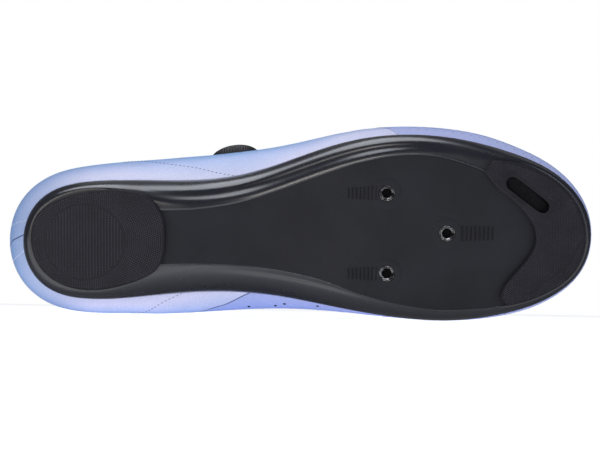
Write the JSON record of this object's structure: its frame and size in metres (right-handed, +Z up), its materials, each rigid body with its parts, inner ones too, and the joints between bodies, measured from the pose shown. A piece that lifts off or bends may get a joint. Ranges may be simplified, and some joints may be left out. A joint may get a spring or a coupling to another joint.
{
  "type": "cycling shoe",
  "caption": "Right road cycling shoe with a stiff black sole for a three-bolt cleat, a pearl lilac upper and a lace dial, lying on its inner side.",
  "frame": {"origin": "bottom centre of the bounding box, on the surface that the shoe lies on", "axes": "+X from heel to toe, -Y out of the underside of the sole, +Z up towards the outer side of the shoe"},
  "size_m": [0.2962, 0.1208, 0.0983],
  "materials": {
    "sole_gloss": "moulded gloss, matt on the underside",
    "tread_rubber": "fine tread",
    "insert_steel": "turned and threaded",
    "lining_cloth": "knitted mesh",
    "pearl_upper": "pearl coated synthetic leather",
    "black_plastic": "moulded"
  },
  "bodies": {
    "root": {"sole": "sole_gloss", "heel_pad": "tread_rubber", "toe_pad": "tread_rubber", "toe_vent": "black_plastic", "cleat_insert_1": "insert_steel", "cleat_insert_2": "insert_steel", "cleat_insert_3": "insert_steel", "insole": "lining_cloth", "upper": "pearl_upper", "eyestay": "pearl_upper", "tongue": "lining_cloth", "dial_base": "black_plastic", "dial_knob": "black_plastic", "lace_guide_inner_1": "black_plastic", "lace_guide_inner_2": "black_plastic", "lace_guide_inner_3": "black_plastic", "lace_guide_outer_1": "black_plastic", "lace_guide_outer_2": "black_plastic", "lace_guide_outer_3": "black_plastic", "lace": "black_plastic"}
  },
  "joints": []
}
